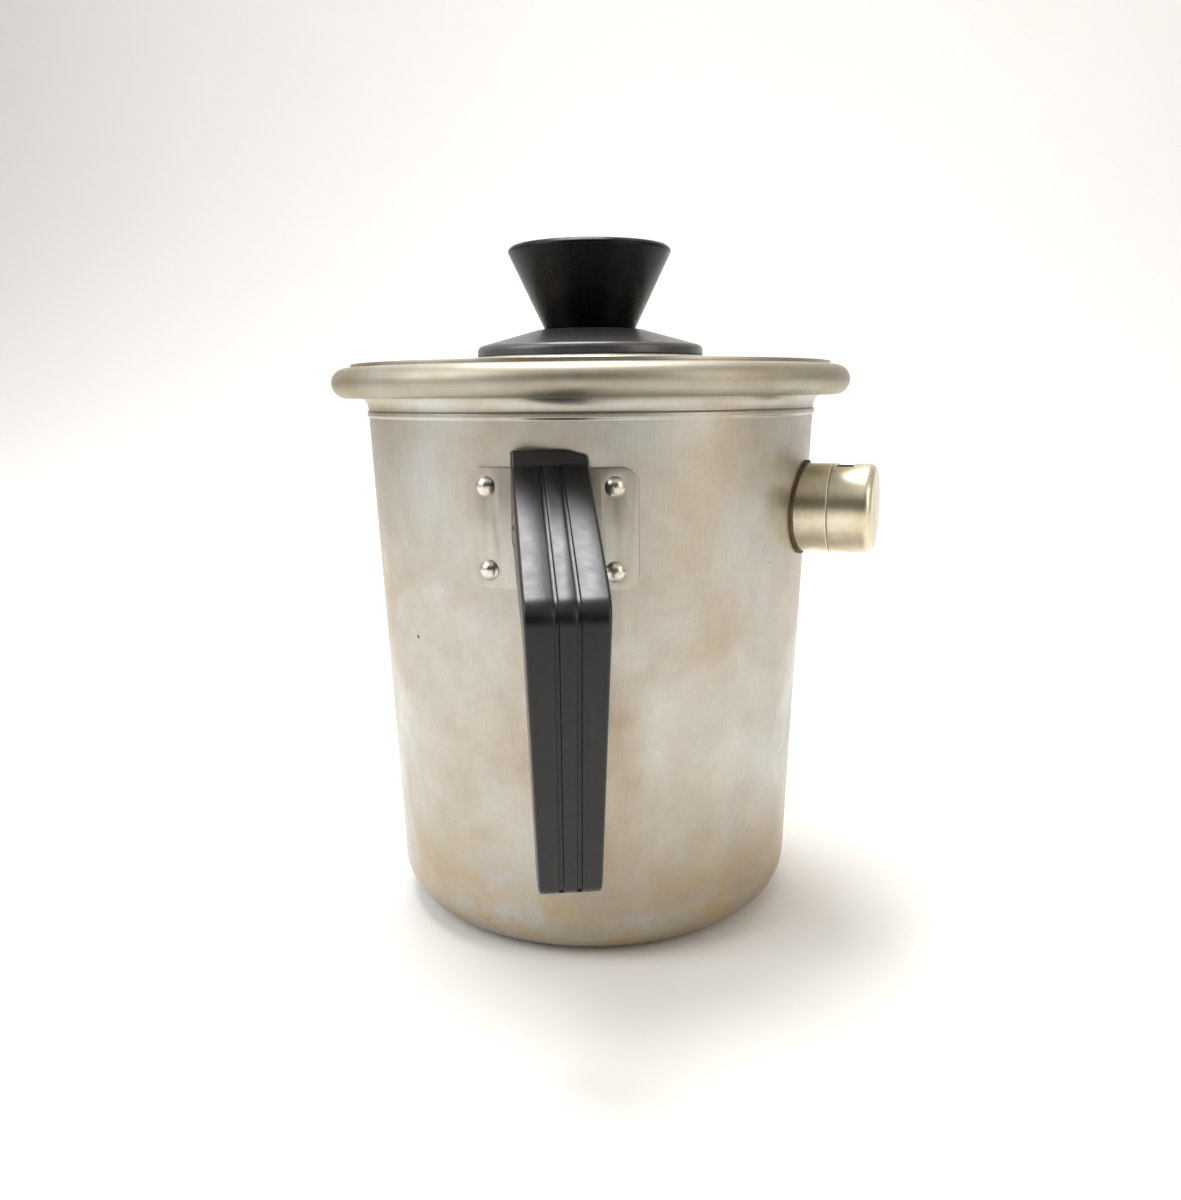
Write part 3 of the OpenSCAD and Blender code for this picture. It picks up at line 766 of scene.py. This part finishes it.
def makeFloor(s):
    # a sweep: the floor runs back and curves up behind the pot
    bpy.ops.object.select_all(action="DESELECT")
    bpy.ops.mesh.primitive_plane_add(size=s["floorSize"])
    floor = bpy.context.object
    floor.name = floor.data.name = "studioFloor"
    bpy.ops.object.mode_set(mode="EDIT")
    selectWhere(floor, "VERT", lambda v: v.co.y > 0)
    bpy.ops.mesh.extrude_region_move(TRANSFORM_OT_translate={"value": (0, 0, s["wallHeight"])})
    selectWhere(floor, "VERT", lambda v: v.co.y > 0 and v.co.z < 0.001)
    bpy.ops.mesh.bevel(offset=s["cove"], segments=24, affect="EDGES")
    bpy.ops.object.mode_set(mode="OBJECT")
    smooth(floor, 30)
    floor.location.z = -0.05 * mm
    material, tree, shader, at = newMaterial("pale matt studio floor")
    dust = addNode(tree, "ShaderNodeTexNoise", {"Vector": at, "Scale": 3.0, "Detail": 3})
    tint = addNode(tree, "ShaderNodeMix", {0: dust.outputs["Fac"], 6: s["floor"], 7: "#ecebe8"}, data_type="RGBA")
    tree.links.new(tint.outputs[2], shader.inputs["Base Color"])
    shader.inputs["Roughness"].default_value = 0.85
    shader.inputs["Specular IOR Level"].default_value = 0.1
    floor.data.materials.append(material)


def addLight(name, position, target, size, power, colour):
    data = bpy.data.lights.new(name, "AREA")
    data.shape = "RECTANGLE"
    data.size, data.size_y = size
    data.energy = power
    data.color = srgb(colour)[:3]
    light = bpy.data.objects.new(name, data)
    light.location = position
    light.rotation_euler = (Vector(target) - Vector(position)).to_track_quat("-Z", "Y").to_euler()
    bpy.context.collection.objects.link(light)


def makeWorld(s):
    # bright all round, a little warmer and darker to the right and along the horizon
    world = bpy.data.worlds.new("studioWorld")
    bpy.context.scene.world = world
    world.use_nodes = True
    tree = world.node_tree
    direction = addNode(tree, "ShaderNodeTexCoord").outputs["Generated"]
    parts = addNode(tree, "ShaderNodeSeparateXYZ", {"Vector": direction}).outputs
    height = addNode(tree, "ShaderNodeMapRange", {"Value": parts["Z"], "From Min": -1.0, "From Max": 1.0})
    band = addNode(tree, "ShaderNodeValToRGB", {"Fac": height.outputs[0]}, [
        (0.0, "#f4f4f3"), (0.44, "#e6e5e3"), (0.5, "#b0a89c"), (0.55, "#cfccc7"), (0.64, "#f3f3f2"), (1.0, "#f5f5f6")])
    side = addNode(tree, "ShaderNodeMapRange", {"Value": parts["X"], "From Min": -1.0, "From Max": 1.0})
    leftRight = addNode(tree, "ShaderNodeValToRGB", {"Fac": side.outputs[0]},
                        [(0.1, "#ffffff"), (0.5, "#ecebe8"), (0.95, "#e2dacd")])
    room = addNode(tree, "ShaderNodeMix", {0: 1.0, 6: band.outputs[0], 7: leftRight.outputs[0]},
                   data_type="RGBA", blend_type="MULTIPLY")
    # the unlit half of the room, in front of the pot and above the floor
    front = addNode(tree, "ShaderNodeMapRange", {"Value": parts["Y"], "From Min": -0.15, "From Max": -0.6})
    raised = addNode(tree, "ShaderNodeValToRGB", {"Fac": height.outputs[0]},
                     [(0.495, 0.0), (0.53, 1.0), (0.72, 1.0), (0.86, 0.0)])
    unlit = addNode(tree, "ShaderNodeMath", {0: front.outputs[0], 1: raised.outputs[0]}, operation="MULTIPLY")
    room = addNode(tree, "ShaderNodeMix", {0: unlit.outputs[0], 6: room.outputs[2], 7: s["unlit"]}, data_type="RGBA")
    seen = addNode(tree, "ShaderNodeLightPath").outputs["Is Camera Ray"]
    shown = addNode(tree, "ShaderNodeMix", {0: seen, 6: room.outputs[2], 7: "#f7f7f6"}, data_type="RGBA")
    background = tree.nodes["Background"]
    tree.links.new(shown.outputs[2], background.inputs["Color"])
    background.inputs["Strength"].default_value = s["room"]


makeFloor(studio)
makeWorld(studio)
aim = (0, 0, 0.09)
addLight("keyWindow", (-0.9, -0.55, 0.75), aim, (0.8, 0.9), studio["key"], "#fbfcff")
addLight("fillCard", (0.95, -0.5, 0.5), aim, (0.6, 0.8), studio["fill"], "#fff7ee")
addLight("topSoftbox", (-0.12, 0.14, 1.1), aim, (0.5, 0.45), studio["top"], "#ffffff")
addLight("backWash", (0, 0.75, 1.7), (0, 1.6, 0.7), (1.8, 0.4), studio["wash"], "#ffffff")
bpy.context.scene.view_settings.view_transform = "Standard"
print("studio lit")
